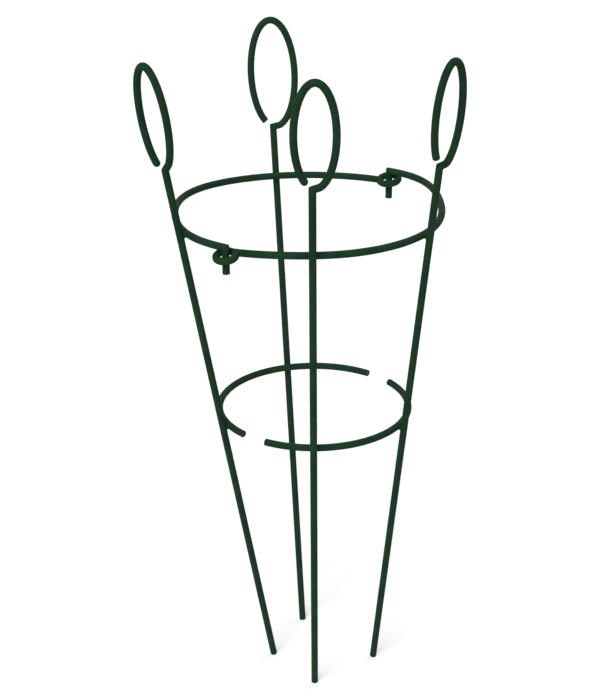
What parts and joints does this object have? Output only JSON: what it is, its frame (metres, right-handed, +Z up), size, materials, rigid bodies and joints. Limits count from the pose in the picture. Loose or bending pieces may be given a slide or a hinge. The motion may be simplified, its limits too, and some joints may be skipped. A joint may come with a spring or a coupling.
{
  "type": "plant support",
  "caption": "Cone-shaped wire plant support: hinged half frames of coated wire with flaring legs, hand loops, and rings that hook together round a growing plant.",
  "frame": {"origin": "middle of the support's footprint box, at the level of the lowest edge of its feet", "axes": "+Z up along the legs towards the hand loops, -Y towards the front leg, +X towards the right leg"},
  "size_m": [0.264, 0.2872, 0.6128],
  "materials": {
    "coated_wire": "satin dark green coat on steel wire",
    "weld_bead": "satin dark green coat over a small weld bead"
  },
  "bodies": {
    "half_a": {"upper_half_ring_a": "coated_wire", "lower_half_ring_a": "coated_wire", "leg_left": "coated_wire", "leg_back": "coated_wire", "weld_left_upper_top": "weld_bead", "weld_left_upper_under": "weld_bead", "weld_left_lower_top": "weld_bead", "weld_left_lower_under": "weld_bead", "weld_back_upper_top": "weld_bead", "weld_back_upper_under": "weld_bead", "weld_back_lower_top": "weld_bead", "weld_back_lower_under": "weld_bead"},
    "half_b": {"upper_half_ring_b": "coated_wire", "lower_half_ring_b": "coated_wire", "leg_front": "coated_wire", "leg_right": "coated_wire", "weld_front_upper_top": "weld_bead", "weld_front_upper_under": "weld_bead", "weld_front_lower_top": "weld_bead", "weld_front_lower_under": "weld_bead", "weld_right_upper_top": "weld_bead", "weld_right_upper_under": "weld_bead", "weld_right_lower_top": "weld_bead", "weld_right_lower_under": "weld_bead"}
  },
  "joints": [
    {"name": "lift_half_b", "type": "hinge", "parent": "half_a", "child": "half_b", "pos_m": [-0.06072, -0.10511, 0.4546], "axis": [0.827, -0.5623, 0], "range_deg": [0, 8]}
  ]
}
